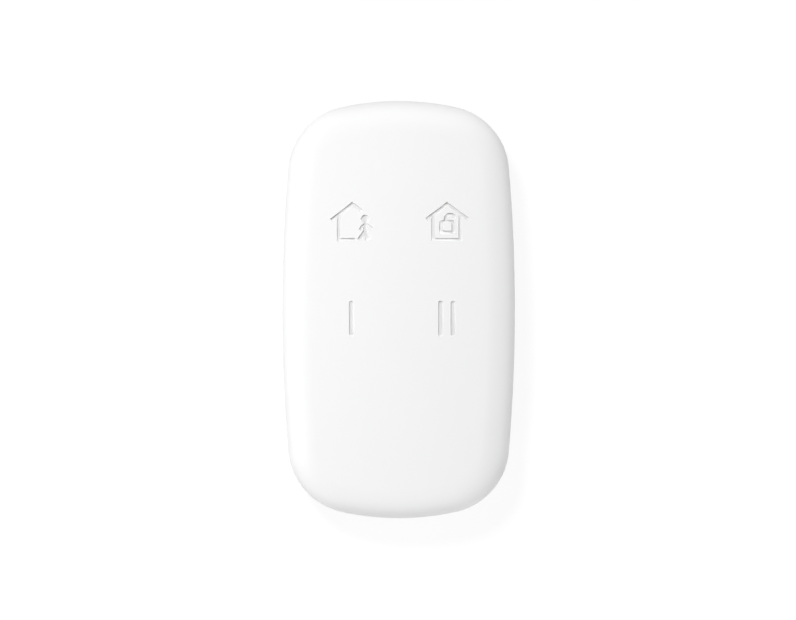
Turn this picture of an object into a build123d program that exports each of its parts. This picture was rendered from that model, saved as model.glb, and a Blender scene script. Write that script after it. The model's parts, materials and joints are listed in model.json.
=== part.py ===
from build123d import *
import math
import os

# An alarm key fob lying on its back, with its soft front face up.
# X runs across the fob, Y runs to its head end and Z goes up through the front face.
# The origin is on the flat rear face, in the middle. All lengths are in millimetres.

# Coin cell
cell_diameter = 20.0
cell_height = 3.2
cell_step = 0.3
cell_can_wall = 0.25
cell_lip = 0.6
cell_cap_gap = 0.95
cell_seal_width = 0.55
cell_fill_gap = 0.02
cell_core_gap = 0.2
cathode_height = 1.6
separator_height = 0.1

# Outline of the case
side_margin = 7.25
foot_margin = 8.0
head_length = 34.0
side_radius = 250.8
end_radius = 39.3
corner_radius = 10.05

# Curved faces of the case
dome_radius_across = 95.0
dome_radius_along = 250.0
shoulder_radius = 5.0
heel_radius = 4.0

# Walls of the case
skin_thickness = 1.0
skin_gap = 0.05
frame_wall = 1.3
rear_wall = 1.9
rim_gap = 0.1
rim_overlap = 1.3
shadow_gap = 0.2
gasket_height = 0.6
gasket_gap = 0.1
gasket_cover = 0.2
overrun = 1.0

# Snap beads between the shells
snap_length = 8.0
snap_height = 0.4
snap_depth = 0.3
snap_gap = 0.1
snap_top_margin = 0.3

# Keys and their marks
key_column = 7.1
key_end_margin = 18.0
key_row_pitch = 14.35
key_radius = 4.2
key_hole_radius = 5.6
key_plate = 1.65
key_nib_radius = 1.2
key_nib_height = 0.6
mark_width = 6.4
mark_depth = 0.3
roof_stroke = 0.5
house_stroke = 0.48
walker_stroke = 0.36
walker_head_radius = 0.59
padlock_stroke = 0.42
bar_width = 0.79
bar_height = 5.24
bar_pitch = 1.82

# Lines of the marks, as shares of the mark's width from the middle of the key
away_roof_share = [(-0.45, 0.035), (0.03, 0.41), (0.24, 0.255)]
away_house_share = [(-0.28, 0.13), (-0.28, -0.415), (0.095, -0.415)]
walker_head_share = [(0.327, 0.065)]
walker_body_share = [(0.332, 0.03), (0.332, -0.2)]
walker_arms_share = [(0.22, -0.165), (0.24, -0.11), (0.31, -0.06), (0.355, -0.06), (0.495, -0.155)]
walker_legs_share = [(0.19, -0.405), (0.332, -0.19), (0.376, -0.29), (0.405, -0.41)]
disarm_roof_share = [(-0.47, 0.06), (0.0, 0.41), (0.475, 0.065)]
disarm_house_share = [(-0.315, 0.15), (-0.315, -0.415), (0.315, -0.415), (0.315, 0.15)]
padlock_share = [(-0.14, 0.01), (0.15, 0.01), (0.15, -0.24), (-0.14, -0.24), (-0.14, 0.01)]
shackle_share = [(-0.03, 0.01), (-0.03, 0.11), (0.02, 0.165), (0.13, 0.165), (0.185, 0.11)]

# Tactile switches
switch_size = 4.5
switch_height = 1.7
switch_base_height = 1.1
switch_cover_height = 0.15
switch_cover_inset = 0.2
switch_cavity_radius = 1.6
switch_floor = 0.3
switch_edge_chamfer = 0.2
stem_radius = 1.0
stem_gap = 0.1
stem_foot_radius = 1.45
stem_foot_height = 0.15
dome_radius = 1.5
dome_height = 0.62
dome_thickness = 0.08
terminal_length = 0.75
terminal_width = 0.7
terminal_height = 0.2
terminal_pitch = 3.0

# Circuit board and what is on it
contact_height = 1.0
board_thickness = 1.0
board_gap = 0.5
controller_size = 5.0
controller_height = 0.9
radio_size = 4.0
radio_height = 0.85
radio_row_gap = 6.0
crystal_length = 3.2
crystal_width = 2.5
crystal_height = 0.7
crystal_radio_gap = 4.6
led_end_margin = 9.0
led_length = 1.6
led_width = 0.8
led_height = 0.6
chip_bevel = 0.1
small_length = 1.0
small_width = 0.5
capacitor_height = 0.5
resistor_height = 0.35
inductor_length = 1.6
inductor_width = 0.8
inductor_height = 0.8
antenna_thickness = 0.07
antenna_width = 0.5
antenna_gap = 1.0
antenna_length = 2.6
antenna_edge = 1.2
antenna_loops = 3

# Places of the small parts, as shares of the key column and the key row pitch
capacitor_share = [(-0.54, 0.16), (-0.54, -0.16), (0.54, 0.16), (0.54, -0.16), (-0.4, -1.05), (0.4, -1.05)]
resistor_share = [(-1.2, 0.0), (-0.9, 0.0), (0.9, 0.0), (1.2, 0.0), (-0.85, -1.15), (0.85, -1.15)]
inductor_share = [(-0.25, 0.72), (0.25, 0.72)]

# Light pipe
pipe_radius = 1.0
pipe_gap = 0.02
pipe_head_radius = 1.6
pipe_head_height = 0.5
pipe_led_gap = 0.2

# Battery contacts
contact_thickness = 0.2
contact_play = 0.05
contact_width = 4.0
negative_foot = 3.0
negative_reach = 5.5
negative_pad = 2.0
positive_pad = 3.0
positive_drop = 3.2

# Battery door and its seat
door_recess = 0.15
door_flange_thickness = 0.6
door_seal_thickness = 0.25
door_ledge_thickness = 0.6
door_hole_gap = 0.35
door_neck_gap = 0.1
lug_length = 0.9
lug_play = 0.05
lug_thickness = 0.6
lug_count = 3
lug_half_angle = 12.0
notch_half_angle = 13.5
door_turn_angle = 40.0
lug_turn = 90.0
notch_gap = 0.15
channel_gap = 0.1
seal_gap = 0.15
seal_width = 0.6
flange_edge = 0.15
flange_chamfer = 0.15
recess_gap = 0.15
coin_slot_length = 12.0
coin_slot_width = 1.6
coin_slot_depth = 0.9
cell_play = 0.05
pad_radius = 8.0
pad_thickness = 0.4
pad_gap = 0.1
dot_radius = 0.45
dot_depth = 0.2
dot_margin = 0.6

# Battery collar inside the rear cover
collar_wall = 0.9
shelf_height = 0.6
collar_window = 0.4
collar_board_gap = 0.1

# Screws, bosses and board posts
screw_column = 9.5
screw_key_gap = 0.5
screw_radius = 1.0
screw_head_radius = 1.8
screw_head_height = 1.2
screw_head_depth = 1.4
screw_head_gap = 0.2
screw_pilot_gap = 0.02
screw_hole_gap = 0.15
screw_tip_cover = 0.9
screw_tip_gap = 0.2
screw_cross_length = 2.0
screw_cross_width = 0.5
screw_cross_depth = 0.6
rear_boss_wall = 0.9
frame_boss_radius = 1.9
post_radius = 1.3
post_angle = -55.0
post_gap = 0.35
board_pin_radius = 0.7
board_pin_gap = 0.1
board_pin_depth = 0.6

# Lanyard pocket and its bar
lanyard_width = 6.4
lanyard_length = 7.0
lanyard_depth = 3.2
lanyard_roof = 1.0
lanyard_side = 1.6
lanyard_pin_radius = 0.75
lanyard_pin_margin = 2.8
lanyard_pin_cover = 0.55
lanyard_pin_grip = 1.3
lanyard_pin_gap = 0.02

# Rating label
label_width = 13.0
label_length = 11.0
label_thickness = 0.1
label_recess = 0.15
label_gap = 0.15
label_door_gap = 3.65
label_corner = 1.0

# Sizes worked out from the ones above
cell_radius = cell_diameter / 2
half_width = cell_radius + side_margin
half_length = (foot_margin + cell_diameter + head_length) / 2
cell_y = foot_margin + cell_radius - half_length
door_hole_radius = cell_radius + door_hole_gap
door_neck_radius = door_hole_radius - door_neck_gap
lug_radius = door_neck_radius + lug_length
notch_radius = lug_radius + notch_gap
channel_radius = notch_radius + channel_gap
collar_radius = channel_radius + collar_wall
seal_inner_radius = notch_radius + seal_gap
seal_outer_radius = seal_inner_radius + seal_width
door_flange_radius = seal_outer_radius + flange_edge
door_recess_radius = door_flange_radius + recess_gap

# Heights from the rear face up
door_flange_top = door_recess + door_flange_thickness
door_ledge_z = door_flange_top + door_seal_thickness
floor_top = door_ledge_z + door_ledge_thickness
lug_bottom = floor_top + lug_play
door_top = lug_bottom + lug_thickness
shelf_z = door_top + channel_gap
shelf_top = shelf_z + shelf_height
cell_bottom = door_top + cell_play
cell_top = cell_bottom + cell_height
board_bottom = cell_top + contact_height
board_top = board_bottom + board_thickness
stem_top = board_top + switch_height
key_bottom = stem_top + key_nib_height
gasket_seat = lanyard_depth + lanyard_roof + gasket_cover
frame_bottom = gasket_seat + gasket_height
rim_top = frame_bottom + rim_overlap
skin_edge = rim_top + shadow_gap

# Places of the keys
key_top_y = half_length - key_end_margin
key_low_y = key_top_y - key_row_pitch
key_mid_y = (key_top_y + key_low_y) / 2
key_places = {
    "away": (-key_column, key_top_y),
    "disarm": (key_column, key_top_y),
    "one": (-key_column, key_low_y),
    "two": (key_column, key_low_y),
}


def dome_drop(x, y):
    """How far the front face lies below its highest point."""
    swing_radius = dome_radius_along - x**2 / (2 * dome_radius_across)
    return dome_radius_along - math.sqrt(swing_radius**2 - y**2)


frame_inset = skin_thickness + skin_gap
rim_wall = frame_inset - rim_gap
board_inset = frame_inset + frame_wall + board_gap
case_height = key_bottom + key_plate + frame_inset + dome_drop(key_column, key_top_y)

# Places of the screws and the board posts
screw_y = key_top_y + key_hole_radius + frame_boss_radius + screw_key_gap
screw_places = [(-screw_column, screw_y), (screw_column, screw_y)]
screw_tip = case_height - dome_drop(screw_column, screw_y) - frame_inset - screw_tip_cover
screw_seat = screw_head_depth + screw_head_height
rear_boss_radius = screw_head_radius + screw_head_gap + rear_boss_wall
post_reach = collar_radius + post_radius + post_gap
post_x = post_reach * math.cos(math.radians(post_angle))
post_y = cell_y + post_reach * math.sin(math.radians(post_angle))
post_places = [(-post_x, post_y), (post_x, post_y)]
snap_bottom = rim_top - snap_top_margin - snap_height
stem_foot_z = board_top + switch_base_height - stem_foot_height
dome_ball_radius = (dome_radius**2 + dome_height**2) / (2 * dome_height)
radio_y = key_low_y - radio_row_gap
crystal_y = radio_y - crystal_radio_gap
antenna_pitch = antenna_width + antenna_gap
antenna_y = half_length - board_inset - antenna_edge - antenna_length / 2
led_y = half_length - led_end_margin
pipe_bottom = board_top + led_height + pipe_led_gap
pipe_drop = dome_drop(0, led_y + pipe_head_radius)
pipe_head_top = case_height - pipe_drop - frame_inset - frame_wall - pipe_gap
strip_z = board_bottom - contact_thickness / 2
leaf_y = cell_y + cell_radius + contact_play + contact_thickness / 2
lanyard_pin_y = half_length - lanyard_pin_margin
lanyard_pin_z = lanyard_pin_cover + lanyard_pin_radius
label_y = cell_y + door_recess_radius + label_door_gap + label_length / 2

# Layers of the coin cell
cell_floor = cell_bottom + cell_can_wall
cell_lip_z = cell_top - cell_step - cell_can_wall
cell_cap_radius = cell_radius - cell_cap_gap
cathode_bottom = cell_floor + cell_fill_gap
separator_bottom = cathode_bottom + cathode_height + cell_fill_gap
anode_bottom = separator_bottom + separator_height + cell_fill_gap
cell_layers = {
    "cell_cathode": (cathode_bottom, cathode_bottom + cathode_height),
    "cell_separator": (separator_bottom, separator_bottom + separator_height),
    "cell_anode": (anode_bottom, cell_top - cell_can_wall - cell_fill_gap),
}


def outline(inset):
    """The case seen from the front: two side arcs, two end arcs and four corner arcs."""
    a = half_width - inset
    b = half_length - inset
    side = side_radius - inset
    end = end_radius - inset
    corner = corner_radius - inset
    # The corner's centre lies on a circle about each of the two larger arcs' centres
    side_centre = a - side
    end_centre = b - end
    side_reach = side - corner
    end_reach = end - corner
    span = math.hypot(side_centre, end_centre)
    along = (side_reach**2 - end_reach**2 + span**2) / (2 * span)
    away = math.sqrt(side_reach**2 - along**2)
    unit_x = -side_centre / span
    unit_y = end_centre / span
    corner_x = side_centre + along * unit_x - away * unit_y
    corner_y = along * unit_y + away * unit_x
    side_angle = math.atan2(corner_y, corner_x - side_centre)
    end_angle = math.atan2(corner_y - end_centre, corner_x)
    mid_angle = (side_angle + end_angle) / 2

    side_point = (side_centre + side * math.cos(side_angle), side * math.sin(side_angle))
    end_point = (end * math.cos(end_angle), end_centre + end * math.sin(end_angle))
    mid_point = (corner_x + corner * math.cos(mid_angle), corner_y + corner * math.sin(mid_angle))

    def flipped(point, x_sign, y_sign):
        return (x_sign * point[0], y_sign * point[1])

    with BuildSketch() as profile:
        with BuildLine():
            for x_sign in (1, -1):
                ThreePointArc(
                    flipped(side_point, x_sign, -1), (x_sign * a, 0), flipped(side_point, x_sign, 1)
                )
                ThreePointArc(
                    flipped(end_point, -1, x_sign), (0, x_sign * b), flipped(end_point, 1, x_sign)
                )
                for y_sign in (1, -1):
                    ThreePointArc(
                        flipped(side_point, x_sign, y_sign),
                        flipped(mid_point, x_sign, y_sign),
                        flipped(end_point, x_sign, y_sign),
                    )
        make_face()
    return profile.sketch


def case_form(inset, bottom):
    """The whole pebble as one solid, its faces set in from the outer ones."""
    across = dome_radius_across - inset
    along = dome_radius_along - inset
    axis_z = case_height - dome_radius_along
    reach = half_width + overrun
    reach_edge = along - reach**2 / (2 * across)
    low_edge = -axis_z - overrun
    swing = 2 * math.degrees(math.asin((half_length + overrun) / -axis_z))
    with BuildPart() as form:
        with BuildSketch(Plane.XY.offset(bottom)):
            add(outline(inset))
        extrude(amount=case_height)
        # The front face is a shallow parabola across the fob, swung about an axis far below it
        with BuildSketch(Plane(Location((0, 0, axis_z), (90 - swing / 2, 0, 0)))):
            with BuildLine():
                Bezier((-reach, reach_edge), (0, 2 * along - reach_edge), (reach, reach_edge))
                Polyline((reach, reach_edge), (reach, low_edge), (-reach, low_edge), (-reach, reach_edge))
            make_face()
        revolve(axis=Axis((0, 0, axis_z), (1, 0, 0)), revolution_arc=swing, mode=Mode.INTERSECT)
        fillet(form.faces().sort_by(Axis.Z)[-1].edges(), shoulder_radius - inset)
        fillet(form.faces().sort_by(Axis.Z)[0].edges(), heel_radius - inset)
    return form.part


def save(part, name):
    """Name a finished piece and write it out."""
    part.label = name
    export_step(part, f"parts/{name}.step")


def door_plane(height):
    """A plane at that height with its origin on the battery door's axis."""
    return Plane((0, cell_y, height))


def door_sectors(radius, half_angle, turn):
    """As many sectors as the door has lugs, from the door's axis out to a radius."""
    reach = 2 * radius
    rise = reach * math.tan(math.radians(half_angle))
    with BuildSketch() as sectors:
        with PolarLocations(0, lug_count, start_angle=turn):
            Polygon((0, 0), (reach, -rise), (reach, rise), align=None)
        Circle(radius, mode=Mode.INTERSECT)
    return sectors.sketch


def snap_band(outer_inset, inner_inset, growth):
    """Short stretches of the case wall, at the foot and at both sides."""
    with BuildSketch() as windows:
        with Locations((0, -half_length)):
            Rectangle(snap_length + 2 * growth, foot_margin)
        with Locations((-half_width, cell_y), (half_width, cell_y)):
            Rectangle(side_margin, snap_length + 2 * growth)
    with BuildSketch() as band:
        add(outline(outer_inset))
        add(outline(inner_inset), mode=Mode.SUBTRACT)
        add(windows.sketch, mode=Mode.INTERSECT)
    return band.sketch


def strokes(lines, width):
    """The lines of a mark as strokes of one width."""
    with BuildSketch() as drawn:
        for line in lines:
            with BuildLine():
                Polyline(*[(x * mark_width, y * mark_width) for x, y in line])
            trace(line_width=width)
    return drawn.sketch


def away_mark():
    """A house with a figure walking out of it."""
    with BuildSketch() as mark:
        add(strokes([away_roof_share], roof_stroke))
        add(strokes([away_house_share], house_stroke))
        add(strokes([walker_body_share, walker_arms_share, walker_legs_share], walker_stroke))
        with Locations([(x * mark_width, y * mark_width) for x, y in walker_head_share]):
            Circle(walker_head_radius)
    return mark.sketch


def disarm_mark():
    """A house with an open padlock in it."""
    with BuildSketch() as mark:
        add(strokes([disarm_roof_share], roof_stroke))
        add(strokes([disarm_house_share], house_stroke))
        add(strokes([padlock_share, shackle_share], padlock_stroke))
    return mark.sketch


def bar_mark(count):
    """Upright bars side by side, a numeral made of ones."""
    with BuildSketch() as mark:
        with GridLocations(bar_pitch, bar_pitch, count, 1):
            SlotOverall(bar_height, bar_width, rotation=90)
    return mark.sketch


def chip(x, y, width, length, height):
    """A moulded component on the board with bevelled upper edges."""
    with BuildPart() as body:
        with BuildSketch(Plane((x, y, board_top))):
            Rectangle(width, length)
        extrude(amount=height)
        chamfer(body.faces().sort_by(Axis.Z)[-1].edges(), chip_bevel)
    return body.part


def small_parts(shares, length, width, height):
    """Small soldered parts, placed by shares of the key column and the key row pitch."""
    places = [(x * key_column, key_mid_y + y * key_row_pitch) for x, y in shares]
    with BuildPart() as group:
        with BuildSketch(Plane.XY.offset(board_top)):
            with Locations(*places):
                Rectangle(length, width)
        extrude(amount=height)
    return group.part


os.makedirs("parts", exist_ok=True)

outside = case_form(0, 0)
skin_inside = case_form(skin_thickness, skin_thickness)
frame_outside = case_form(frame_inset, frame_inset)
frame_middle = case_form(frame_inset + frame_wall / 2, frame_inset)
frame_inside = case_form(frame_inset + frame_wall, frame_inset)
rear_inside = case_form(rear_wall, floor_top)

# Front skin: a soft shell with the marks sunk into it
marks = {"away": away_mark(), "disarm": disarm_mark(), "one": bar_mark(1), "two": bar_mark(2)}
with BuildPart() as mark_cutter:
    for name, (x, y) in key_places.items():
        with BuildSketch(Plane((x, y, key_bottom))):
            add(marks[name])
        extrude(amount=case_height)
    add(case_form(mark_depth, mark_depth), mode=Mode.SUBTRACT)

with BuildPart() as front_skin:
    add(outside)
    add(skin_inside, mode=Mode.SUBTRACT)
    split(bisect_by=Plane.XY.offset(skin_edge), keep=Keep.TOP)
    add(mark_cutter.part, mode=Mode.SUBTRACT)
save(front_skin.part, "front_skin")

# Front frame: a stiff shell under the skin, with key holes, screw bosses and board posts
with BuildPart() as frame_posts:
    with BuildSketch(Plane.XY.offset(board_top)):
        with Locations(*screw_places):
            Circle(frame_boss_radius)
        with Locations(*post_places):
            Circle(post_radius)
    extrude(amount=case_height)
    add(frame_middle, mode=Mode.INTERSECT)

with BuildPart() as front_frame:
    add(frame_outside)
    add(frame_inside, mode=Mode.SUBTRACT)
    split(bisect_by=Plane.XY.offset(frame_bottom), keep=Keep.TOP)
    with BuildSketch(Plane.XY.offset(key_bottom - key_nib_height)):
        with Locations(*key_places.values()):
            Circle(key_hole_radius)
        with Locations((0, led_y)):
            Circle(pipe_radius + pipe_gap)
    extrude(amount=case_height, mode=Mode.SUBTRACT)
    add(frame_posts.part)
    with BuildSketch(Plane.XY.offset(board_top)):
        with Locations(*screw_places):
            Circle(screw_radius + screw_pilot_gap)
    extrude(amount=screw_tip - board_top, mode=Mode.SUBTRACT)
    with BuildSketch(Plane.XY.offset(board_bottom - board_pin_depth)):
        with Locations(*post_places):
            Circle(board_pin_radius)
    extrude(amount=board_thickness + board_pin_depth)
    with BuildSketch(Plane.XY.offset(snap_bottom - snap_gap)):
        add(snap_band(rim_wall, rim_wall + snap_depth + snap_gap, snap_gap))
    extrude(amount=snap_height + 2 * snap_gap, mode=Mode.SUBTRACT)
save(front_frame.part, "front_frame")

# Keys: round plates under the marks, each with a nib on its switch
for name, (x, y) in key_places.items():
    with BuildPart() as key:
        with BuildSketch(Plane((x, y, key_bottom))):
            Circle(key_radius)
        extrude(amount=case_height)
        add(frame_outside, mode=Mode.INTERSECT)
        with BuildSketch(Plane((x, y, stem_top))):
            Circle(key_nib_radius)
        extrude(amount=key_nib_height)
    save(key.part, f"{name}_key")

    # The switch stem has a foot that the metal cover holds in
    with BuildPart() as stem:
        with BuildSketch(Plane((x, y, stem_foot_z))):
            Circle(stem_foot_radius)
        extrude(amount=stem_foot_height)
        with BuildSketch(Plane((x, y, stem_foot_z + stem_foot_height))):
            Circle(stem_radius)
        extrude(amount=stem_top - stem_foot_z - stem_foot_height)
    save(stem.part, f"{name}_stem")

    # The snap dome is a thin cap of a ball
    with BuildPart() as dome:
        with Locations((x, y, board_top + switch_floor + dome_height - dome_ball_radius)):
            Sphere(dome_ball_radius)
            Sphere(dome_ball_radius - dome_thickness, mode=Mode.SUBTRACT)
        split(bisect_by=Plane.XY.offset(board_top + switch_floor), keep=Keep.TOP)
    save(dome.part, f"{name}_dome")

# Switch bases, open at the top for the dome and the stem's foot
with BuildPart() as switch_bases:
    with BuildSketch(Plane.XY.offset(board_top)):
        with Locations(*key_places.values()):
            Rectangle(switch_size, switch_size)
    extrude(amount=switch_base_height)
    chamfer(switch_bases.edges().filter_by(Axis.Z), switch_edge_chamfer)
    with BuildSketch(Plane.XY.offset(board_top + switch_floor)):
        with Locations(*key_places.values()):
            Circle(switch_cavity_radius)
    extrude(amount=switch_base_height, mode=Mode.SUBTRACT)
save(switch_bases.part, "switch_bases")

# Metal covers of the switches
with BuildPart() as switch_covers:
    with BuildSketch(Plane.XY.offset(board_top + switch_base_height)):
        with Locations(*key_places.values()):
            Rectangle(switch_size - 2 * switch_cover_inset, switch_size - 2 * switch_cover_inset)
            Circle(stem_radius + stem_gap, mode=Mode.SUBTRACT)
    extrude(amount=switch_cover_height)
save(switch_covers.part, "switch_covers")

# Soldered legs of the switches
with BuildPart() as switch_terminals:
    with BuildSketch(Plane.XY.offset(board_top)):
        with Locations(*key_places.values()):
            with GridLocations(switch_size + terminal_length, terminal_pitch, 2, 2):
                Rectangle(terminal_length, terminal_width)
    extrude(amount=terminal_height)
save(switch_terminals.part, "switch_terminals")

# Circuit board
with BuildPart() as circuit_board:
    with BuildSketch(Plane.XY.offset(board_bottom)):
        add(outline(board_inset))
        with Locations(*screw_places):
            Circle(screw_radius + screw_hole_gap, mode=Mode.SUBTRACT)
        with Locations(*post_places):
            Circle(board_pin_radius + board_pin_gap, mode=Mode.SUBTRACT)
    extrude(amount=board_thickness)
save(circuit_board.part, "circuit_board")

# Components on the board
save(chip(0, key_mid_y, controller_size, controller_size, controller_height), "controller_chip")
save(chip(0, radio_y, radio_size, radio_size, radio_height), "radio_chip")
save(chip(0, crystal_y, crystal_length, crystal_width, crystal_height), "crystal")
save(chip(0, led_y, led_length, led_width, led_height), "status_led")
save(small_parts(capacitor_share, small_length, small_width, capacitor_height), "capacitors")
save(small_parts(resistor_share, small_length, small_width, resistor_height), "resistors")
save(small_parts(inductor_share, inductor_length, inductor_width, inductor_height), "inductors")

# Aerial: a track that winds to and fro at the head end of the board
with BuildPart() as antenna_trace:
    with BuildSketch(Plane((0, antenna_y, board_top))):
        with GridLocations(antenna_pitch, antenna_pitch, 2 * antenna_loops + 1, 1):
            Rectangle(antenna_width, antenna_length)
        for side in (1, -1):
            with Locations((side * antenna_pitch / 2, side * (antenna_length - antenna_width) / 2)):
                with GridLocations(2 * antenna_pitch, antenna_pitch, antenna_loops, 1):
                    Rectangle(antenna_pitch + antenna_width, antenna_width)
    extrude(amount=antenna_thickness)
save(antenna_trace.part, "antenna_trace")

# Light pipe: a clear pin in the frame, over the status light
with BuildPart() as light_pipe:
    with BuildSketch(Plane((0, led_y, pipe_bottom))):
        Circle(pipe_radius)
    extrude(amount=case_height)
    add(frame_outside, mode=Mode.INTERSECT)
    with BuildSketch(Plane((0, led_y, pipe_head_top - pipe_head_height))):
        Circle(pipe_head_radius)
    extrude(amount=pipe_head_height)
save(light_pipe.part, "light_pipe")

# Battery contacts: bent strips under the board
with BuildPart() as negative_contact:
    with BuildSketch(Plane.YZ):
        with BuildLine():
            Polyline(
                (cell_y - negative_reach, strip_z),
                (cell_y - negative_reach + negative_foot, strip_z),
                (cell_y, cell_top + contact_play + contact_thickness / 2),
                (cell_y + negative_pad, cell_top + contact_play + contact_thickness / 2),
            )
        trace(line_width=contact_thickness)
    extrude(amount=contact_width / 2, both=True)
save(negative_contact.part, "negative_contact")

with BuildPart() as positive_contact:
    with BuildSketch(Plane.YZ):
        with BuildLine():
            Polyline(
                (leaf_y + positive_pad, strip_z),
                (leaf_y, strip_z),
                (leaf_y, board_bottom - positive_drop),
            )
        trace(line_width=contact_thickness)
    extrude(amount=contact_width / 2, both=True)
save(positive_contact.part, "positive_contact")

# Coin cell: can, cap and the seal between them, with the layers inside
with BuildPart() as cell_can:
    with BuildSketch(door_plane(cell_bottom)):
        Circle(cell_radius)
    extrude(amount=cell_height - cell_step)
    with BuildSketch(door_plane(cell_floor)):
        Circle(cell_radius - cell_can_wall)
    extrude(amount=cell_lip_z - cell_floor, mode=Mode.SUBTRACT)
    with BuildSketch(door_plane(cell_lip_z)):
        Circle(cell_radius - cell_lip)
    extrude(amount=cell_height, mode=Mode.SUBTRACT)
save(cell_can.part, "cell_can")

with BuildPart() as cell_cap:
    with BuildSketch(door_plane(cell_floor + cell_core_gap)):
        Circle(cell_cap_radius)
    extrude(amount=cell_top - cell_floor - cell_core_gap)
    with BuildSketch(door_plane(cell_floor)):
        Circle(cell_cap_radius - cell_can_wall)
    extrude(amount=cell_top - cell_can_wall - cell_floor, mode=Mode.SUBTRACT)
save(cell_cap.part, "cell_cap")

with BuildPart() as cell_seal:
    with BuildSketch(door_plane(cell_floor + cell_fill_gap)):
        Circle(cell_radius - cell_can_wall - cell_fill_gap)
        Circle(cell_radius - cell_can_wall - cell_fill_gap - cell_seal_width, mode=Mode.SUBTRACT)
    extrude(amount=cell_lip_z - cell_floor - 2 * cell_fill_gap)
save(cell_seal.part, "cell_seal")

for name, (bottom, top) in cell_layers.items():
    with BuildPart() as layer:
        with BuildSketch(door_plane(bottom)):
            Circle(cell_cap_radius - cell_can_wall - cell_core_gap)
        extrude(amount=top - bottom)
    save(layer.part, name)

# Case gasket, between the rear cover's ledge and the frame's foot
with BuildPart() as case_gasket:
    with BuildSketch(Plane.XY.offset(gasket_seat)):
        add(outline(rim_wall + gasket_gap))
        add(outline(rear_wall), mode=Mode.SUBTRACT)
    extrude(amount=gasket_height)
save(case_gasket.part, "case_gasket")

# Walls round the lanyard pocket
with BuildPart() as lanyard_walls:
    with BuildSketch():
        with Locations((0, half_length - lanyard_length - lanyard_roof)):
            Rectangle(
                lanyard_width + 2 * lanyard_side,
                lanyard_length + lanyard_roof,
                align=(Align.CENTER, Align.MIN),
            )
    extrude(amount=lanyard_depth + lanyard_roof)
    add(outside, mode=Mode.INTERSECT)

# Rear cover
with BuildPart() as rear_cover:
    add(outside)
    add(rear_inside, mode=Mode.SUBTRACT)
    split(bisect_by=Plane.XY.offset(rim_top), keep=Keep.BOTTOM)
    # Rebate that takes the gasket and the frame's foot
    with BuildSketch(Plane.XY.offset(gasket_seat)):
        add(outline(rim_wall))
    extrude(amount=case_height, mode=Mode.SUBTRACT)
    with BuildSketch(Plane.XY.offset(snap_bottom)):
        add(snap_band(rim_wall / 2, rim_wall + snap_depth, 0))
    extrude(amount=snap_height)
    # Battery collar: a channel for the door's lugs, a shelf over it and a ring round the cell
    with BuildSketch(door_plane(floor_top)):
        Circle(collar_radius)
    extrude(amount=shelf_top - floor_top)
    with BuildSketch(door_plane(shelf_top)):
        Circle(door_hole_radius + collar_wall)
    extrude(amount=board_bottom - collar_board_gap - shelf_top)
    with BuildSketch(door_plane(floor_top)):
        Circle(channel_radius)
    extrude(amount=shelf_z - floor_top, mode=Mode.SUBTRACT)
    with BuildSketch(door_plane(0)):
        Circle(door_hole_radius)
    extrude(amount=case_height, mode=Mode.SUBTRACT)
    with BuildSketch(door_plane(0)):
        Circle(door_recess_radius)
    extrude(amount=door_ledge_z, mode=Mode.SUBTRACT)
    with BuildSketch(door_plane(door_ledge_z)):
        add(door_sectors(notch_radius, notch_half_angle, lug_turn - door_turn_angle))
    extrude(amount=door_ledge_thickness, mode=Mode.SUBTRACT)
    with BuildSketch(door_plane(shelf_top)):
        Rectangle(
            contact_width + 2 * collar_window,
            collar_radius + overrun,
            align=(Align.CENTER, Align.MIN),
        )
    extrude(amount=case_height, mode=Mode.SUBTRACT)
    # Screw bosses and board posts
    with BuildSketch(Plane.XY.offset(floor_top)):
        with Locations(*screw_places):
            Circle(rear_boss_radius)
        with Locations(*post_places):
            Circle(post_radius)
    extrude(amount=board_bottom - floor_top)
    with Locations(*[Location((x, y, 0), (180, 0, 0)) for x, y in screw_places]):
        CounterBoreHole(
            radius=screw_radius + screw_hole_gap,
            counter_bore_radius=screw_head_radius + screw_head_gap,
            counter_bore_depth=screw_seat,
            depth=case_height,
        )
    with BuildSketch(Plane.XY.offset(board_bottom - board_pin_depth - board_pin_gap)):
        with Locations(*post_places):
            Circle(board_pin_radius + board_pin_gap)
    extrude(amount=case_height, mode=Mode.SUBTRACT)
    # Lanyard pocket with the holes of its bar
    add(lanyard_walls.part)
    with BuildSketch():
        with Locations((0, half_length - lanyard_length)):
            Rectangle(lanyard_width, lanyard_length + overrun, align=(Align.CENTER, Align.MIN))
    extrude(amount=lanyard_depth, mode=Mode.SUBTRACT)
    with BuildSketch(Plane.YZ):
        with Locations((lanyard_pin_y, lanyard_pin_z)):
            Circle(lanyard_pin_radius + lanyard_pin_gap)
    extrude(amount=lanyard_width / 2 + lanyard_pin_grip + lanyard_pin_gap, both=True, mode=Mode.SUBTRACT)
    # Recess for the label, and the dots that show the door open and closed
    with BuildSketch():
        with Locations((0, label_y)):
            RectangleRounded(label_width + 2 * label_gap, label_length + 2 * label_gap, label_corner)
    extrude(amount=label_recess, mode=Mode.SUBTRACT)
    with BuildSketch(door_plane(0)):
        for turn in (lug_turn, lug_turn - door_turn_angle):
            with PolarLocations(door_recess_radius + dot_margin + dot_radius, 1, start_angle=turn):
                Circle(dot_radius)
    extrude(amount=dot_depth, mode=Mode.SUBTRACT)
save(rear_cover.part, "rear_cover")

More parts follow.
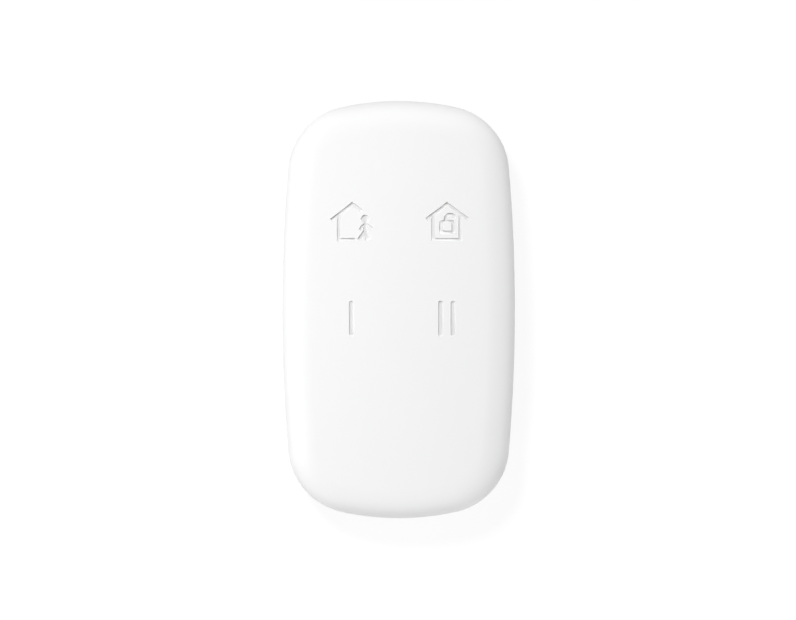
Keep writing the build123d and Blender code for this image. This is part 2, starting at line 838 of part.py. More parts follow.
# Battery door: a flange, a neck with bayonet lugs, a coin slot and a seat for the pad
with BuildPart() as battery_door:
    with BuildSketch(door_plane(door_recess)):
        Circle(door_flange_radius)
    extrude(amount=door_flange_thickness)
    chamfer(battery_door.faces().sort_by(Axis.Z)[0].edges(), flange_chamfer)
    with BuildSketch(door_plane(door_flange_top)):
        Circle(door_neck_radius)
    extrude(amount=door_top - door_flange_top)
    with BuildSketch(door_plane(lug_bottom)):
        add(door_sectors(lug_radius, lug_half_angle, lug_turn))
    extrude(amount=lug_thickness)
    with BuildSketch(door_plane(door_top - pad_thickness)):
        Circle(pad_radius + pad_gap)
    extrude(amount=pad_thickness, mode=Mode.SUBTRACT)
    with BuildSketch(door_plane(door_recess)):
        SlotOverall(coin_slot_length, coin_slot_width)
    extrude(amount=coin_slot_depth, mode=Mode.SUBTRACT)
    with BuildSketch(door_plane(door_recess)):
        with PolarLocations(door_neck_radius - dot_margin, 1, start_angle=lug_turn):
            Circle(dot_radius)
    extrude(amount=dot_depth, mode=Mode.SUBTRACT)
save(battery_door.part, "battery_door")

# Foam pad that presses the cell up
with BuildPart() as door_pad:
    with BuildSketch(door_plane(door_top - pad_thickness)):
        Circle(pad_radius)
    extrude(amount=pad_thickness)
save(door_pad.part, "door_pad")

# Seal between the door's flange and the rear cover's ledge
with BuildPart() as door_seal:
    with BuildSketch(door_plane(door_flange_top)):
        Circle(seal_outer_radius)
        Circle(seal_inner_radius, mode=Mode.SUBTRACT)
    extrude(amount=door_seal_thickness)
save(door_seal.part, "door_seal")

# Case screws, driven in from the rear
with BuildPart() as case_screws:
    with BuildSketch(Plane.XY.offset(screw_head_depth)):
        with Locations(*screw_places):
            Circle(screw_head_radius)
    extrude(amount=screw_head_height)
    with BuildSketch(Plane.XY.offset(screw_seat)):
        with Locations(*screw_places):
            Circle(screw_radius)
    extrude(amount=screw_tip - screw_tip_gap - screw_seat)
    with BuildSketch(Plane.XY.offset(screw_head_depth)):
        with Locations(*screw_places):
            Rectangle(screw_cross_length, screw_cross_width)
            Rectangle(screw_cross_width, screw_cross_length)
    extrude(amount=screw_cross_depth, mode=Mode.SUBTRACT)
save(case_screws.part, "case_screws")

# Blank rating label
with BuildPart() as rating_label:
    with BuildSketch(Plane((0, label_y, label_recess - label_thickness))):
        RectangleRounded(label_width, label_length, label_corner)
    extrude(amount=label_thickness)
save(rating_label.part, "rating_label")

# Steel bar across the lanyard pocket
with BuildPart() as lanyard_pin:
    with BuildSketch(Plane.YZ):
        with Locations((lanyard_pin_y, lanyard_pin_z)):
            Circle(lanyard_pin_radius)
    extrude(amount=lanyard_width / 2 + lanyard_pin_grip, both=True)
save(lanyard_pin.part, "lanyard_pin")
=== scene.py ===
import json
import math

import bpy
import numpy as np
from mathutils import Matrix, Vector
from mathutils.geometry import delaunay_2d_cdt


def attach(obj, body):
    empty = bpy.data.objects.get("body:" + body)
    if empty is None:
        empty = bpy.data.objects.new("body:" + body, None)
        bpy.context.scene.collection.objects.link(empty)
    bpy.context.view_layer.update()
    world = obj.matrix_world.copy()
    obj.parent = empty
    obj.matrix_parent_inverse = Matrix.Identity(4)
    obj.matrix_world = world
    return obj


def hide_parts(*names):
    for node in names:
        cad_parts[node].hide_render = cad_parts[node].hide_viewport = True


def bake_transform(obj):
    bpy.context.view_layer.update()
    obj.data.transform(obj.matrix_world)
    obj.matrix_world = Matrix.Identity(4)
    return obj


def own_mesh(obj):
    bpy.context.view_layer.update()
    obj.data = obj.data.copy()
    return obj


# The looks of the alarm key fob round its imported solids. The soft front skin is made
# again here as one smooth surface: a surround on the case, a pad on each key with its
# engraved mark, and a ring of wedges round each pad.
# The shape code works in millimetres, and MM turns them into metres.
MM = 0.001

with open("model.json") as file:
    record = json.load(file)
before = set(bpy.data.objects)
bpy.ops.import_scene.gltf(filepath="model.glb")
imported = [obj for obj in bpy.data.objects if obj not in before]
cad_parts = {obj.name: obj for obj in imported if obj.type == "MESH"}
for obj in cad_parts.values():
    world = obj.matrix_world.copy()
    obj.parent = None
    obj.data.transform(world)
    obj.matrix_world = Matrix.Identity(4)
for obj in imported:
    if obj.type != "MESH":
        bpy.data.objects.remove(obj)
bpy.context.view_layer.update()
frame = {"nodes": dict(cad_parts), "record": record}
scene = bpy.context.scene

# Camera
FRAME_WIDTH = 796
PIXEL = 0.14855  # millimetres of the fob in one pixel of the picture
LENS = 400.0
SENSOR = 36.0
FOCUS_Z = 7.3  # height of the fob's widest line, where PIXEL holds
AIM = (-0.12, -0.06)  # the point that the camera looks at, from the fob's middle

camera_data = bpy.data.cameras.new("camera")
camera_data.lens = LENS
camera_data.sensor_width = SENSOR
camera_data.clip_start = 0.01
camera_data.clip_end = 10.0
camera = bpy.data.objects.new("camera", camera_data)
camera.location = [v * MM for v in (*AIM, FOCUS_Z + FRAME_WIDTH * PIXEL * LENS / SENSOR)]
scene.collection.objects.link(camera)
scene.camera = camera
scene.view_settings.view_transform = "Standard"

# Sizes of the case, as in the CAD source
HALF_WIDTH = 17.25
HALF_LENGTH = 31.0
SIDE_RADIUS = 250.8
END_RADIUS = 39.3
CORNER_RADIUS = 10.05
DOME_ACROSS = 95.0
DOME_ALONG = 250.0
SHOULDER = 5.0
SKIN = 1.0
SKIN_EDGE = 6.5
FACE_AT_KEY = 12.5  # height of the front face over the middle of an upper key
KEYS = {"away": (-7.1, 13.0), "disarm": (7.1, 13.0), "one": (-7.1, -1.35), "two": (7.1, -1.35)}

# Sizes of the skin's own pieces
PAD_RADIUS = 4.3
RING_RADIUS = 5.3
EDGE_ROUND = 0.12
EDGE_TURNS = (90.0, 60.0, 30.0)  # degrees round the skin's lower edge
EVEN_FROM = 4  # the even rows start this many times EDGE_ROUND above the edge

# Numbers of columns and rows in the meshes
SIDE_COLUMNS = 24
CORNER_COLUMNS = 30
END_COLUMNS = 18
SHOULDER_ROWS = 22
CIRCLE_POINTS = 96
WEDGES = 12
WEDGE_ROWS = 8

# Spacing of scattered points
COARSE = 0.8
FINE = 0.015
RIM_GAP = 0.45  # this and the next are shares of COARSE
RING_GAP = 0.4
SAME_POINT = 1e-6  # points nearer than this are one


def unit(vectors):
    return vectors / np.linalg.norm(vectors, axis=-1, keepdims=True)


def dome_arc(x, y, inset=0.0):
    """Radius of the face's lengthwise arc at x, and how far above its centre the arc is at y."""
    radius = DOME_ALONG - inset - x**2 / (2 * (DOME_ACROSS - inset))
    return radius, np.sqrt(radius**2 - y**2)


CASE_HEIGHT = FACE_AT_KEY + DOME_ALONG - float(dome_arc(*KEYS["disarm"])[1])


def dome(x, y, inset=0.0):
    """Height of the front face, or of a face set in from it, and its upward normal."""
    radius, above = dome_arc(x, y, inset)
    normal = np.stack([radius * x / ((DOME_ACROSS - inset) * above), y / above, np.ones_like(above)], -1)
    return CASE_HEIGHT - DOME_ALONG + above, unit(normal)


def outline_columns():
    """Places round the case: the centre and radius of the arc that each lies on, and its angle."""
    side_centre = HALF_WIDTH - SIDE_RADIUS
    end_centre = HALF_LENGTH - END_RADIUS
    side_reach = SIDE_RADIUS - CORNER_RADIUS
    end_reach = END_RADIUS - CORNER_RADIUS
    span = math.hypot(side_centre, end_centre)
    along = (side_reach**2 - end_reach**2 + span**2) / (2 * span)
    away = math.sqrt(side_reach**2 - along**2)
    corner_x = side_centre - along * side_centre / span - away * end_centre / span
    corner_y = along * end_centre / span - away * side_centre / span
    side_turn = math.atan2(corner_y, corner_x - side_centre)
    end_turn = math.atan2(corner_y - end_centre, corner_x)
    half, whole = math.pi, 2 * math.pi
    arcs = [
        (side_centre, 0, SIDE_RADIUS, -side_turn, side_turn, SIDE_COLUMNS),
        (corner_x, corner_y, CORNER_RADIUS, side_turn, end_turn, CORNER_COLUMNS),
        (0, end_centre, END_RADIUS, end_turn, half - end_turn, END_COLUMNS),
        (-corner_x, corner_y, CORNER_RADIUS, half - end_turn, half - side_turn, CORNER_COLUMNS),
        (-side_centre, 0, SIDE_RADIUS, half - side_turn, half + side_turn, SIDE_COLUMNS),
        (-corner_x, -corner_y, CORNER_RADIUS, half + side_turn, half + end_turn, CORNER_COLUMNS),
        (0, -end_centre, END_RADIUS, half + end_turn, whole - end_turn, END_COLUMNS),
        (corner_x, -corner_y, CORNER_RADIUS, whole - end_turn, whole - side_turn, CORNER_COLUMNS),
    ]
    rows = []
    for x, y, radius, first, last, count in arcs:
        for turn in np.linspace(first, last, count, endpoint=False):
            rows.append((x, y, radius, turn))
    return np.array(rows)


# The ball that rolls round under the shoulder: its centre in each column, and the turn from
# the wall's normal to the dome's
columns = outline_columns()
outward = np.stack([np.cos(columns[:, 3]), np.sin(columns[:, 3]), np.zeros(len(columns))], -1)
ball = columns[:, :2] + (columns[:, 2:3] - SHOULDER) * outward[:, :2]
ball_z, upward = dome(ball[:, 0], ball[:, 1], SHOULDER)
ball = np.column_stack([ball, ball_z])
turn_angle = np.arccos((outward * upward).sum(-1))


def shoulder_row(share, inset, height=None):
    """One row round the shoulder at a share of its turn, moved to a height where one is given."""
    near = np.sin((1 - share) * turn_angle) / np.sin(turn_angle)
    far = np.sin(share * turn_angle) / np.sin(turn_angle)
    normal = near[:, None] * outward + far[:, None] * upward
    points = ball + (SHOULDER - inset) * normal
    if height is not None:
        points[:, 2] = height
    return points, normal


def share_at(height, inset):
    """The share of the shoulder's turn that a height has, for each column, and 0 below it."""
    sine = (height - ball_z) * np.sin(turn_angle) / ((SHOULDER - inset) * upward[:, 2])
    return np.arcsin(np.clip(sine, 0, 1)) / turn_angle


def wall_rows(inset, rounded):
    """The skin's wall and shoulder, from its lower edge up to where the dome begins."""
    height = SKIN_EDGE
    rows = []
    if rounded:
        for turn in EDGE_TURNS:
            sine, cosine = math.sin(math.radians(turn)), math.cos(math.radians(turn))
            height = SKIN_EDGE + EDGE_ROUND * (1 - sine)
            points, normal = shoulder_row(share_at(height, inset), inset, height)
            points -= EDGE_ROUND * (1 - cosine) * outward
            rows.append((points, unit(normal * cosine - np.array([0, 0, sine]))))
        height = SKIN_EDGE + EDGE_ROUND
    rows.append(shoulder_row(share_at(height, inset), inset, height))
    even_height = SKIN_EDGE + EVEN_FROM * EDGE_ROUND
    start = share_at(even_height, inset)
    rows.append(shoulder_row(start, inset, even_height))
    for step in range(1, SHOULDER_ROWS + 1):
        rows.append(shoulder_row(start + (1 - start) * step / SHOULDER_ROWS, inset))
    return rows


# Meshes
def triangles(loops, scattered, hollow=()):
    """Triangles inside the first loop, through scattered points. hollow holds (x, y, radius) left open."""
    flat = np.concatenate([*loops, scattered])
    edges, start = [], 0
    for loop in loops:
        count = len(loop)
        edges += [(start + i, start + (i + 1) % count) for i in range(count)]
        start += count
    places = [Vector(p) for p in flat.tolist()]
    _, _, faces, origin, _, _ = delaunay_2d_cdt(places, edges, [], 1, SAME_POINT)
    found = np.array([[origin[v][0] for v in face] for face in faces])
    middle = flat[found].mean(1)
    keep = np.ones(len(found), bool)
    for x, y, radius in hollow:
        keep &= np.hypot(middle[:, 0] - x, middle[:, 1] - y) > radius
    return found[keep]


def circle(centre, radius):
    turn = np.arange(CIRCLE_POINTS) * 2 * math.pi / CIRCLE_POINTS
    return np.array(centre) + radius * np.stack([np.cos(turn), np.sin(turn)], -1)


def hexagonal(reach_x, reach_y):
    """Points spaced evenly in staggered rows."""
    found = []
    for row, y in enumerate(np.arange(-reach_y, reach_y, COARSE * math.sqrt(3) / 2)):
        for x in np.arange(-reach_x + (row % 2) * COARSE / 2, reach_x, COARSE):
            found.append((x, y))
    return np.array(found)


class Builder:
    """Gathers points in millimetres, their normals, and faces that are smooth or flat."""

    def __init__(self):
        self.points, self.normals, self.smooth, self.flat = [], [], [], []

    def add(self, points, normals):
        first = len(self.points)
        self.points.extend(np.asarray(points).tolist())
        self.normals.extend(np.asarray(normals).tolist())
        return np.arange(first, len(self.points))

    def fill(self, faces):
        self.smooth += [tuple(int(i) for i in face) for face in faces]

    def strip(self, lower, upper, smooth=True, closed=True):
        """Four-sided faces between two rows, facing right of the way that the rows run."""
        count = len(lower) if closed else len(lower) - 1
        faces = self.smooth if smooth else self.flat
        for i in range(count):
            j = (i + 1) % len(lower)
            faces.append((int(lower[i]), int(lower[j]), int(upper[j]), int(upper[i])))

    def mesh(self, name):
        mesh = bpy.data.meshes.new(name)
        mesh.from_pydata((np.array(self.points) * MM).tolist(), [], self.smooth + self.flat)
        mesh.polygons.foreach_set("use_smooth", [True] * len(mesh.polygons))
        corners = np.zeros(len(mesh.loops), np.int32)
        mesh.loops.foreach_get("vertex_index", corners)
        normals = np.array(self.normals)[corners]
        flat_normal = np.zeros(len(mesh.polygons) * 3)
        mesh.polygons.foreach_get("normal", flat_normal)
        flat_normal = flat_normal.reshape(-1, 3)
        for index in range(len(self.smooth), len(mesh.polygons)):
            polygon = mesh.polygons[index]
            normals[polygon.loop_start : polygon.loop_start + polygon.loop_total] = flat_normal[index]
        mesh.normals_split_custom_set(normals.tolist())
        mesh.update()
        return mesh


# Strokes, as signed distances in the plan, below 0 inside
def to_line(points, start, end):
    """Distance of each point to a straight line between two ends."""
    start, way = np.array(start), np.array(end) - np.array(start)
    share = np.clip((points - start) @ way / (way @ way), 0, 1)
    return np.linalg.norm(points - start - share[:, None] * way, axis=-1)


def round_stroke(points, line, radius):
    return np.min([to_line(points, a, b) for a, b in zip(line, line[1:])], 0) - radius


def square_stroke(points, line, width):
    """A line drawn with a flat pen: square ends and mitred corners."""
    line = np.array(line)
    ways = unit(np.diff(line, axis=0))
    sides = np.column_stack([-ways[:, 1], ways[:, 0]])
    left = [sides[0]]
    for before, after in zip(sides, sides[1:]):
        middle = unit(before + after)
        left.append(middle / (middle @ before))
    left = np.array([*left, sides[-1]]) * width / 2
    return polygon(points, np.concatenate([line + left, (line - left)[::-1]]))


def polygon(points, corners):
    distance = np.min([to_line(points, a, b) for a, b in zip(corners, np.roll(corners, -1, 0))], 0)
    inside = np.zeros(len(points), bool)
    for (ax, ay), (bx, by) in zip(corners, np.roll(corners, -1, 0)):
        if ay != by:
            crossing = (points[:, 1] - ay) / (by - ay) * (bx - ax) + ax
            inside ^= ((ay > points[:, 1]) != (by > points[:, 1])) & (points[:, 0] < crossing)
    return np.where(inside, -distance, distance)


def rounded_frame(points, centre, half, corner, width):
    """The outline of a box with round corners, drawn with a round pen."""
    beyond = np.abs(points - np.array(centre)) - (np.array(half) - corner)
    outside = np.linalg.norm(np.maximum(beyond, 0), axis=-1)
    return np.abs(outside + np.minimum(beyond.max(-1), 0) - corner) - width / 2


# Engraved marks, from the middle of their key
MARK_DEPTH = 0.42
BEVEL = 0.08
STROKE_MARGIN = 0.05  # the engraved edge lies this far outside the drawn strokes
ROOF_WIDTH = 0.5
WALL_WIDTH = 0.48
HEAD_RADIUS = 0.59
NECK_RADIUS = 0.2
BODY_RADIUS = 0.27
ARM_RADIUS = 0.17
LOCK_WIDTH = 0.5
LOCK_CORNER = 0.28
SHACKLE_RADIUS = 0.21
BAR_ENDS = (-2.27, 2.32)
BAR_RADIUS = 0.325


def away_mark(p):
    """A house with a figure walking out of it."""
    return np.min([
        square_stroke(p, [(-2.9, 0.22), (0.18, 2.61), (1.55, 1.63)], ROOF_WIDTH),
        square_stroke(p, [(-1.78, 1.05), (-1.78, -2.66), (0.61, -2.66)], WALL_WIDTH),
        np.linalg.norm(p - np.array([2.1, 0.42]), axis=-1) - HEAD_RADIUS,
        round_stroke(p, [(2.08, 0.3), (2.12, -0.6)], NECK_RADIUS),
        round_stroke(p, [(2.14, -0.55), (2.11, -1.26)], BODY_RADIUS),
        round_stroke(p, [(2.02, -0.43), (1.56, -0.74), (1.43, -1.07)], ARM_RADIUS),
        round_stroke(p, [(2.26, -0.38), (3.14, -0.97)], ARM_RADIUS),
        polygon(p, [(1.96, -1.08), (0.98, -2.52), (1.6, -2.72), (2.2, -1.5)]),
        polygon(p, [(2.0, -1.2), (1.95, -1.6), (2.19, -2.8), (3.03, -2.52), (2.37, -1.0)]),
    ], 0)


def disarm_mark(p):
    """A house with an open padlock in it."""
    left_side = [(-0.18, 0.1), (-0.18, 0.66), (-0.06, 0.93)]
    right_side = [(0.24, 1.07), (0.8, 1.05), (1.1, 0.9), (1.19, 0.66)]
    return np.min([
        square_stroke(p, [(-2.99, 0.39), (0.0, 2.61), (3.05, 0.42)], ROOF_WIDTH),
        square_stroke(p, [(-2.03, 1.05), (-2.03, -2.66), (1.98, -2.66), (1.98, 1.05)], WALL_WIDTH),
        rounded_frame(p, (0.05, -0.795), (0.92, 0.785), LOCK_CORNER, LOCK_WIDTH),
        round_stroke(p, left_side + right_side, SHACKLE_RADIUS),
    ], 0)


def bar_mark(middles):
    """Upright bars with round ends, a numeral made of ones."""
    low, high = BAR_ENDS
    return lambda p: np.min([round_stroke(p, [(x, low), (x, high)], BAR_RADIUS) for x in middles], 0)


MARKS = {"away": away_mark, "disarm": disarm_mark, "one": bar_mark([0.075]), "two": bar_mark([-0.92, 0.92])}

# How the points of a pad gather along its mark's edges
CELL_REACH = 0.72  # a little over half the diagonal of a cell, in its sides
BEVEL_REACH = 0.6  # a little over half the bevel, in its widths
BORDER_GAP = 0.1
SAME_PLACE = 0.125  # this and the next two are shares of FINE
DRAWN_FROM = 0.5
THINNED_BELOW = 0.4
STEEP = 0.8  # a distance rises by 1 across an edge, and by less where two edges meet
EDGE_STEP = 0.002
SURFACE_STEP = 0.004


def rise(function, points, step):
    """How a function of the plan rises along X and along Y."""
    along_x = (function(points + [step, 0]) - function(points - [step, 0])) / (2 * step)
    along_y = (function(points + [0, step]) - function(points - [0, step])) / (2 * step)
    return np.stack([along_x, along_y], -1)


def first_at_each(points, spacing):
    """Index of the first point at each place of a grid."""
    return np.unique(np.round(points / spacing).astype(np.int64), axis=0, return_index=True)[1]


def pad_surface(plan, centre, distance):
    """Points of the front face in a pad, sunk where its mark is, and their normals."""

    def height(p):
        sunk = np.clip((STROKE_MARGIN - distance(p - centre)) / BEVEL, 0, 1)
        return dome(p[:, 0], p[:, 1])[0] - MARK_DEPTH * sunk**2 * (3 - 2 * sunk)

    normals = unit(np.column_stack([-rise(height, plan, SURFACE_STEP), np.ones(len(plan))]))
    return np.column_stack([plan, height(plan)]), normals


def pad_points(distance):
    """Points that are dense along a mark's edges, drawn onto the edges of its bevel."""
    size = COARSE
    reach = math.ceil(PAD_RADIUS / size) * size
    middles = np.arange(-reach + size / 2, reach, size)
    cells = np.stack(np.meshgrid(middles, middles), -1).reshape(-1, 2)
    corners = np.array([(-1, -1), (1, -1), (1, 1), (-1, 1)]) / 2
    found = []
    while len(cells):
        off = np.abs(distance(cells) - STROKE_MARGIN + BEVEL / 2)
        near = (off < CELL_REACH * size + BEVEL * BEVEL_REACH) & (size > FINE)
        found.append((cells[~near][:, None] + corners * size).reshape(-1, 2))
        cells = (cells[near][:, None] + corners * size / 2).reshape(-1, 2)
        size /= 2
    points = np.concatenate(found)
    points = points[first_at_each(points, FINE * SAME_PLACE)]
    points = points[np.linalg.norm(points, axis=-1) < PAD_RADIUS - BORDER_GAP]
    for level in (STROKE_MARGIN - BEVEL, STROKE_MARGIN - BEVEL / 2, STROKE_MARGIN):
        off = distance(points) - level
        slope = rise(distance, points, EDGE_STEP)
        steep = (slope**2).sum(-1)
        move = (np.abs(off) < FINE * DRAWN_FROM) & (steep > STEEP)
        points[move] -= off[move, None] * slope[move] / steep[move, None]
    return points[np.sort(first_at_each(points, FINE * THINNED_BELOW))]


# Materials
NOISE_LOW = 0.3
NOISE_HIGH = 0.7
PATCH_DETAIL = 2.0
GRAIN_DETAIL = 3.0
ROUGH_VARY = 0.05


def noise(nodes, links, place, size_mm, detail):
    """A noise whose grains are about size_mm across."""
    mapping = nodes.new("ShaderNodeMapping")
    mapping.inputs["Scale"].default_value = [1 / (size_mm * MM)] * 3
    links.new(place, mapping.inputs["Vector"])
    texture = nodes.new("ShaderNodeTexNoise")
    texture.inputs["Scale"].default_value = 1.0
    texture.inputs["Detail"].default_value = detail
    links.new(mapping.outputs["Vector"], texture.inputs["Vector"])
    return texture.outputs["Fac"]


def spread(nodes, links, value, low, high):
    """Maps a noise's middle range onto low to high."""
    ranged = nodes.new("ShaderNodeMapRange")
    ranged.inputs["From Min"].default_value = NOISE_LOW
    ranged.inputs["From Max"].default_value = NOISE_HIGH
    ranged.inputs["To Min"].default_value = low
    ranged.inputs["To Max"].default_value = high
    links.new(value, ranged.inputs["Value"])
    return ranged.outputs["Result"]


def shades(nodes, links, value, dark, light):
    """A colour between two, by a noise."""
    ramp = nodes.new("ShaderNodeValToRGB")
    ramp.color_ramp.elements[0].position = NOISE_LOW
    ramp.color_ramp.elements[0].color = (*dark, 1)
    ramp.color_ramp.elements[1].position = NOISE_HIGH
    ramp.color_ramp.elements[1].color = (*light, 1)
    links.new(value, ramp.inputs["Fac"])
    return ramp.outputs["Color"]


def bump(nodes, links, shader, height, depth_mm):
    bumped = nodes.new("ShaderNodeBump")
    bumped.inputs["Strength"].default_value = 1.0
    bumped.inputs["Distance"].default_value = depth_mm * MM
    links.new(height, bumped.inputs["Height"])
    links.new(bumped.outputs["Normal"], shader.inputs["Normal"])


def finish(name, colour, vary, rough, grain_mm, depth_mm, metal=0.0, patch_mm=8.0, specular=0.5):
    """A surface with slow patches of shade over a fine grain, which also varies the gloss."""
    material = bpy.data.materials.new(name)
    material.use_nodes = True
    nodes, links = material.node_tree.nodes, material.node_tree.links
    shader = nodes["Principled BSDF"]
    place = nodes.new("ShaderNodeTexCoord").outputs["Object"]
    patches = noise(nodes, links, place, patch_mm, PATCH_DETAIL)
    grain = noise(nodes, links, place, grain_mm, GRAIN_DETAIL)
    dark = [max(0.0, c - vary) for c in colour]
    light = [min(1.0, c + vary) for c in colour]
    links.new(shades(nodes, links, patches, dark, light), shader.inputs["Base Color"])
    gloss = spread(nodes, links, grain, rough - ROUGH_VARY, rough + ROUGH_VARY)
    links.new(gloss, shader.inputs["Roughness"])
    bump(nodes, links, shader, grain, depth_mm)
    shader.inputs["Metallic"].default_value = metal
    shader.inputs["Specular IOR Level"].default_value = specular
    return material


looks = {
    "skin": finish("skin", (0.9, 0.9, 0.9), 0.002, 0.6, 0.12, 0.0012, specular=0.25),
    "shell": finish("shell", (0.87, 0.87, 0.87), 0.004, 0.5, 0.16, 0.004, specular=0.35),
    "seal_rubber": finish("seal_rubber", (0.3, 0.31, 0.32), 0.01, 0.65, 0.1, 0.003),
    "foam": finish("foam", (0.03, 0.03, 0.033), 0.01, 0.95, 0.25, 0.06),
    "steel": finish("steel", (0.55, 0.55, 0.56), 0.03, 0.32, 0.08, 0.002, metal=1.0),
    "label": finish("label", (0.74, 0.75, 0.76), 0.006, 0.42, 0.09, 0.001),
    "board": finish("board", (0.012, 0.1, 0.035), 0.004, 0.4, 0.5, 0.01, patch_mm=3.0),
    "copper": finish("copper", (0.85, 0.55, 0.2), 0.04, 0.3, 0.1, 0.002, metal=1.0),
    "chip": finish("chip", (0.03, 0.03, 0.034), 0.006, 0.6, 0.06, 0.003, patch_mm=1.5),
    "nickel": finish("nickel", (0.68, 0.66, 0.62), 0.03, 0.25, 0.08, 0.001, metal=1.0, patch_mm=4.0),
    "ceramic": finish("ceramic", (0.36, 0.24, 0.14), 0.03, 0.5, 0.08, 0.002, patch_mm=0.6),
    "led": finish("led", (0.85, 0.82, 0.55), 0.02, 0.25, 0.1, 0.001, patch_mm=0.5),
    "clear": finish("clear", (0.85, 0.88, 0.9), 0.01, 0.12, 0.3, 0.0005),
    "switch_plastic": finish("switch_plastic", (0.03, 0.03, 0.032), 0.006, 0.45, 0.08, 0.002, patch_mm=1.5),
    "solder": finish("solder", (0.7, 0.7, 0.7), 0.05, 0.3, 0.12, 0.006, metal=1.0, patch_mm=0.8),
    "cell_plastic": finish("cell_plastic", (0.68, 0.66, 0.6), 0.02, 0.45, 0.1, 0.002),
    "cathode": finish("cathode", (0.02, 0.02, 0.02), 0.008, 0.9, 0.09, 0.02, patch_mm=2.0),
    "paper": finish("paper", (0.78, 0.77, 0.72), 0.03, 0.95, 0.09, 0.02, patch_mm=1.0),
    "lithium": finish("lithium", (0.5, 0.5, 0.5), 0.06, 0.5, 0.3, 0.01, metal=1.0, patch_mm=3.0),
}
looks["clear"].node_tree.nodes["Principled BSDF"].inputs["Transmission Weight"].default_value = 0.9

for row in frame["record"]["subparts"]:
    for held in frame["nodes"][row["node"]].material_slots:
        held.material = looks[row["material_slot"]]


# Front skin
def skin_piece(builder, name):
    mesh = builder.mesh(name)
    mesh.materials.append(looks["skin"])
    obj = bpy.data.objects.new(name, mesh)
    scene.collection.objects.link(obj)
    return obj


def make_surround():
    """The skin round the four key rings, with its shoulder, wall and lower edge."""
    key_circles = [(x, y, RING_RADIUS) for x, y in KEYS.values()]
    outer_rows = wall_rows(0.0, True)
    inner_rows = wall_rows(SKIN, False)

    # Points of the dome, clear of its edge and of the key rings
    rim = outer_rows[-1][0][:, :2]
    rim_way = np.roll(rim, -1, 0) - rim
    inward = unit(np.column_stack([-rim_way[:, 1], rim_way[:, 0]]))
    scattered = hexagonal(HALF_WIDTH, HALF_LENGTH)
    from_rim = ((scattered[:, None] - rim[None]) * inward[None]).sum(-1).min(1)
    scattered = scattered[from_rim > COARSE * RIM_GAP]
    for x, y, radius in key_circles:
        from_key = np.hypot(scattered[:, 0] - x, scattered[:, 1] - y)
        scattered = scattered[from_key > radius + COARSE * RING_GAP]
    rings = [circle((x, y), radius) for x, y, radius in key_circles]
    dome_faces = triangles([rim, *rings], scattered, key_circles)
    plan = np.concatenate([*rings, scattered])
    height, normals = dome(plan[:, 0], plan[:, 1])
    points = np.column_stack([plan, height])

    builder = Builder()
    outer = [builder.add(*row) for row in outer_rows]
    for lower, upper in zip(outer, outer[1:]):
        builder.strip(lower, upper)
    outer_dome = builder.add(points, normals)
    builder.fill(np.concatenate([outer[-1], outer_dome])[dome_faces])
    inner = [builder.add(row_points, -row_normals) for row_points, row_normals in inner_rows]
    for lower, upper in zip(inner, inner[1:]):
        builder.strip(upper, lower)
    inner_dome = builder.add(points - SKIN * normals, -normals)
    builder.fill(np.concatenate([inner[-1], inner_dome])[dome_faces][:, ::-1])
    builder.strip(inner[0], outer[0], smooth=False)
    for number in range(len(rings)):
        span = slice(number * CIRCLE_POINTS, (number + 1) * CIRCLE_POINTS)
        builder.strip(outer_dome[span], inner_dome[span], smooth=False)
    surround = skin_piece(builder, "skin_surround")
    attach(surround, "case")
    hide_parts("front_skin")


def make_pad(name, centre):
    """The skin on a key, with its mark sunk into the outer face."""
    builder = Builder()
    border = circle((0, 0), PAD_RADIUS)
    fine = pad_points(MARKS[name])
    points, normals = pad_surface(np.concatenate([border, fine]) + centre, centre, MARKS[name])
    top = builder.add(points, normals)
    builder.fill(top[triangles([border], fine)])
    coarse = hexagonal(PAD_RADIUS, PAD_RADIUS)
    coarse = coarse[np.linalg.norm(coarse, axis=-1) < PAD_RADIUS - COARSE * RING_GAP]
    plan = np.concatenate([border, coarse]) + centre
    height, normals = dome(plan[:, 0], plan[:, 1])
    under = builder.add(np.column_stack([plan, height]) - SKIN * normals, -normals)
    builder.fill(under[triangles([border], coarse)][:, ::-1])
    builder.strip(under[:CIRCLE_POINTS], top[:CIRCLE_POINTS], smooth=False)
    pad = skin_piece(builder, f"skin_pad_{name}")
    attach(pad, f"{name}_key")


def make_ring(name, centre):
    """The skin round a pad, in wedges."""
    reach = CIRCLE_POINTS // WEDGES
    for number in range(WEDGES):
        turns = (np.arange(reach + 1) - reach / 2 + number * reach) * 2 * math.pi / CIRCLE_POINTS
        around = np.stack([np.cos(turns), np.sin(turns)], -1)
        builder = Builder()
        tops, unders = [], []
        for radius in np.linspace(PAD_RADIUS, RING_RADIUS, WEDGE_ROWS + 1):
            plan = centre + radius * around
            height, normals = dome(plan[:, 0], plan[:, 1])
            points = np.column_stack([plan, height])
            tops.append(builder.add(points, normals))
            unders.append(builder.add(points - SKIN * normals, -normals))
        tops, unders = np.array(tops), np.array(unders)
        for near_row, far_row in zip(tops, tops[1:]):
            builder.strip(far_row, near_row, closed=False)
        for near_row, far_row in zip(unders, unders[1:]):
            builder.strip(near_row, far_row, closed=False)
        builder.strip(unders[-1], tops[-1], smooth=False, closed=False)
        builder.strip(tops[0], unders[0], smooth=False, closed=False)
        builder.strip(unders[:, 0], tops[:, 0], smooth=False, closed=False)
        builder.strip(tops[:, -1], unders[:, -1], smooth=False, closed=False)
        wedge = skin_piece(builder, f"skin_ring_{name}_{number + 1:02d}")
        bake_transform(wedge)


make_surround()
for name, centre in KEYS.items():
    make_pad(name, np.array(centre))
    make_ring(name, np.array(centre))

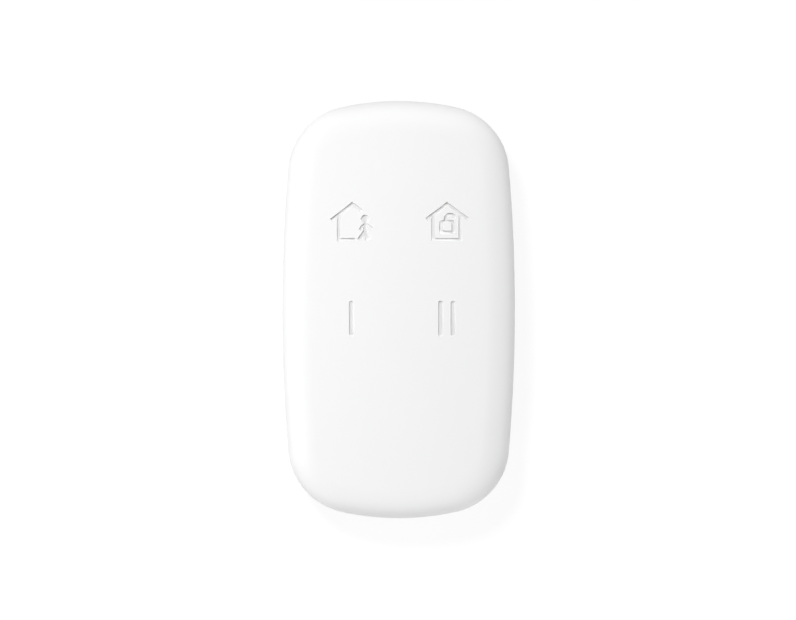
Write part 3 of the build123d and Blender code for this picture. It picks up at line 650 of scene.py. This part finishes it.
for name, (x, y) in KEYS.items():
    cad_dome = frame["nodes"][f"{name}_dome"]
    snap = bpy.data.objects.new(f"snap_dome_{name}", cad_dome.data.copy())
    snap.matrix_world = cad_dome.matrix_world
    snap.data.materials.clear()
    snap.data.materials.append(looks["nickel"])
    scene.collection.objects.link(snap)
    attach(snap, "case")
    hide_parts(f"{name}_dome")
    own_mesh(snap)

# Floor
WHITE = (1, 1, 1, 1)
FLOOR_REACH = 3.0  # metres
FLOOR_DROP = 0.01
FLOOR_GREY = 0.15
FLOOR_GLOW = 0.88


def seen_directly(nodes, links):
    """1 for the camera and for reflections and glass, 0 for all other light."""
    path = nodes.new("ShaderNodeLightPath")
    seen = path.outputs["Is Camera Ray"]
    for output in ("Is Glossy Ray", "Is Transmission Ray"):
        either = nodes.new("ShaderNodeMath")
        either.operation = "MAXIMUM"
        links.new(seen, either.inputs[0])
        links.new(path.outputs[output], either.inputs[1])
        seen = either.outputs[0]
    return seen


floor_mesh = bpy.data.meshes.new("floor")
floor_corners = [(x * FLOOR_REACH, y * FLOOR_REACH, 0) for x, y in ((-1, -1), (1, -1), (1, 1), (-1, 1))]
floor_mesh.from_pydata(floor_corners, [], [(0, 1, 2, 3)])
floor = bpy.data.objects.new("floor", floor_mesh)
floor.location.z = -FLOOR_DROP * MM
scene.collection.objects.link(floor)
floor_look = bpy.data.materials.new("floor")
floor_look.use_nodes = True
nodes, links = floor_look.node_tree.nodes, floor_look.node_tree.links
nodes.clear()
diffuse = nodes.new("ShaderNodeBsdfDiffuse")
diffuse.inputs["Color"].default_value = (FLOOR_GREY, FLOOR_GREY, FLOOR_GREY, 1)
glow = nodes.new("ShaderNodeEmission")
glow.inputs["Color"].default_value = WHITE
strength = nodes.new("ShaderNodeMath")
strength.operation = "MULTIPLY"
strength.inputs[1].default_value = FLOOR_GLOW
links.new(seen_directly(nodes, links), strength.inputs[0])
links.new(strength.outputs[0], glow.inputs["Strength"])
both = nodes.new("ShaderNodeAddShader")
links.new(diffuse.outputs["BSDF"], both.inputs[0])
links.new(glow.outputs["Emission"], both.inputs[1])
output = nodes.new("ShaderNodeOutputMaterial")
links.new(both.outputs["Shader"], output.inputs["Surface"])
floor_mesh.materials.append(floor_look)

# Light
WORLD_LIGHT = 0.1

world = bpy.data.worlds.new("world")
scene.world = world
world.use_nodes = True
nodes, links = world.node_tree.nodes, world.node_tree.links
background = nodes["Background"]
background.inputs["Color"].default_value = WHITE
level = nodes.new("ShaderNodeMapRange")
level.inputs["To Min"].default_value = WORLD_LIGHT
level.inputs["To Max"].default_value = 1.0
links.new(seen_directly(nodes, links), level.inputs["Value"])
links.new(level.outputs["Result"], background.inputs["Strength"])


def softbox(name, azimuth, elevation, watts, distance=1.0, size=0.4):
    """A square lamp that faces the fob, with its azimuth from +X towards +Y, in degrees and metres."""
    data = bpy.data.lights.new(name, "AREA")
    data.shape = "SQUARE"
    data.size = size
    data.energy = watts
    lamp = bpy.data.objects.new(name, data)
    azimuth, elevation = math.radians(azimuth), math.radians(elevation)
    flat = distance * math.cos(elevation)
    lamp.location = (flat * math.cos(azimuth), flat * math.sin(azimuth), distance * math.sin(elevation))
    lamp.rotation_mode = "QUATERNION"
    lamp.rotation_quaternion = lamp.location.to_track_quat("Z", "Y")
    lamp.visible_camera = False
    scene.collection.objects.link(lamp)


softbox("key_light", 120, 57, 5.35, size=0.2)
softbox("left_light", 180, 30, 0.1, distance=0.22, size=0.1)
softbox("right_fill", 0, 20, 5.2)
softbox("corner_fill", 120, 9, 4.2)
softbox("foot_fill", 240, 9, 4.85)
softbox("low_fill", 270, 20, 1.7)
